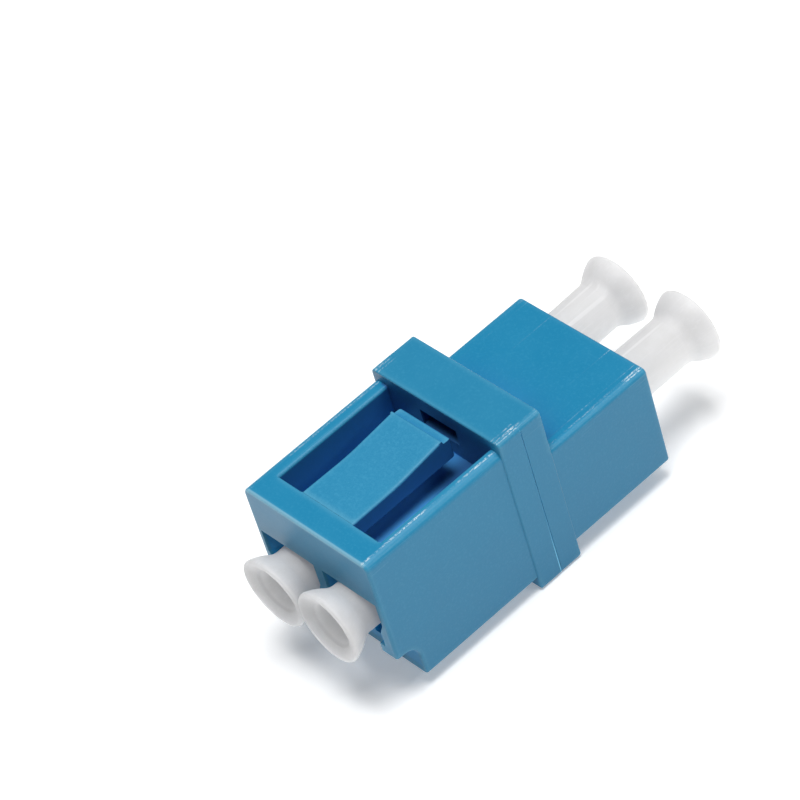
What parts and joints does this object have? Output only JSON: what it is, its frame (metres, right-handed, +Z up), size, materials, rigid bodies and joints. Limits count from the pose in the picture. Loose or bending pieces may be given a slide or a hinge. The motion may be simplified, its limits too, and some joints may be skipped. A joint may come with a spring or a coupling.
{
  "type": "lc duplex fibre adapter",
  "caption": "Duplex LC fibre adapter with a snap-in panel tongue, a square mounting flange and trumpet-ended dust plugs in its ports.",
  "frame": {"origin": "midway between the two port axes, in the plane where the panel seats against the front of the flange", "axes": "+Y along the ports from the front ports (beside the tongue) to the rear ports, +Z up through the tongue, +X to the right seen from the front"},
  "size_m": [0.0128, 0.0348, 0.0144],
  "materials": {
    "blue_housing": "satin injection-moulded plastic, azure blue",
    "plug_white": "soft translucent white plastic, satin",
    "zirconia": "polished white ceramic"
  },
  "bodies": {
    "housing": {"front_housing": "blue_housing", "rear_housing": "blue_housing", "alignment_sleeve_left": "zirconia", "alignment_sleeve_right": "zirconia"},
    "latch": {"latch_tongue": "blue_housing"},
    "plug_front_left": {"dust_plug_front_left": "plug_white"},
    "plug_front_right": {"dust_plug_front_right": "plug_white"},
    "plug_rear_left": {"dust_plug_rear_left": "plug_white"},
    "plug_rear_right": {"dust_plug_rear_right": "plug_white"}
  },
  "joints": [
    {"name": "latch_hinge", "type": "hinge", "parent": "housing", "child": "latch", "pos_m": [0, -0.01015, 0.00613], "axis": [-1, 0, 0], "range_deg": [0, 8], "stiffness_Nm_per_rad": 0.6},
    {"name": "dust_plug_front_left_slide", "type": "slide", "parent": "housing", "child": "plug_front_left", "axis": [0, -1, 0], "range_m": [0, 0.015]},
    {"name": "dust_plug_front_right_slide", "type": "slide", "parent": "housing", "child": "plug_front_right", "axis": [0, -1, 0], "range_m": [0, 0.015]},
    {"name": "dust_plug_rear_left_slide", "type": "slide", "parent": "housing", "child": "plug_rear_left", "axis": [0, 1, 0], "range_m": [-0.001, 0.014]},
    {"name": "dust_plug_rear_right_slide", "type": "slide", "parent": "housing", "child": "plug_rear_right", "axis": [0, 1, 0], "range_m": [-0.001, 0.014]}
  ]
}
